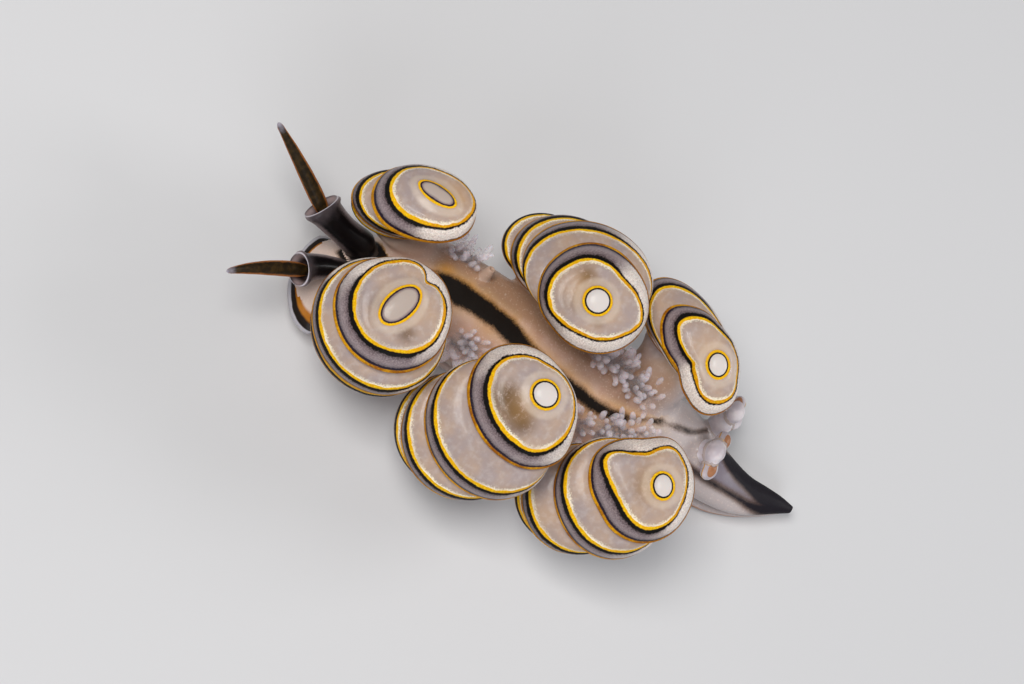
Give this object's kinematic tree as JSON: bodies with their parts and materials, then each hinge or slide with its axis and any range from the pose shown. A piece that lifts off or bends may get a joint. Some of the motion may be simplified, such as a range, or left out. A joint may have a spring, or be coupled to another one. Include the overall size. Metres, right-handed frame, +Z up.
{
  "type": "doto sea slug",
  "caption": "Life-size nudibranch with stacked, ringed cerata, slender rhinophores in collars, gill tufts and a flat creeping foot.",
  "frame": {"origin": "on the flat of the sole, under the middle of the body", "axes": "+Z up, -Y towards the head, +Y towards the tail, +X to the animal's left"},
  "size_m": [0.0104, 0.0233, 0.0078],
  "materials": {
    "foot": "wet skin",
    "body": "wet skin",
    "tail": "wet skin",
    "ceras": "wet skin",
    "sheath": "wet skin",
    "rhinophore": "wet skin",
    "gill": "wet skin",
    "papilla": "wet skin"
  },
  "bodies": {
    "root": {"foot": "foot", "head": "body", "body": "body", "tail": "tail", "ceras_left_1": "ceras", "ceras_left_2": "ceras", "ceras_left_3": "ceras", "ceras_left_4": "ceras", "ceras_right_1": "ceras", "ceras_right_2": "ceras", "ceras_right_3": "ceras", "ceras_right_4": "ceras", "rhinophore_sheath_left": "sheath", "rhinophore_sheath_right": "sheath", "rhinophore_left": "rhinophore", "rhinophore_right": "rhinophore", "gill_left_1": "gill", "gill_left_2": "gill", "gill_left_3": "gill", "gill_right_1": "gill", "gill_right_2": "gill", "gill_right_3": "gill", "anal_papilla": "papilla"}
  },
  "joints": []
}
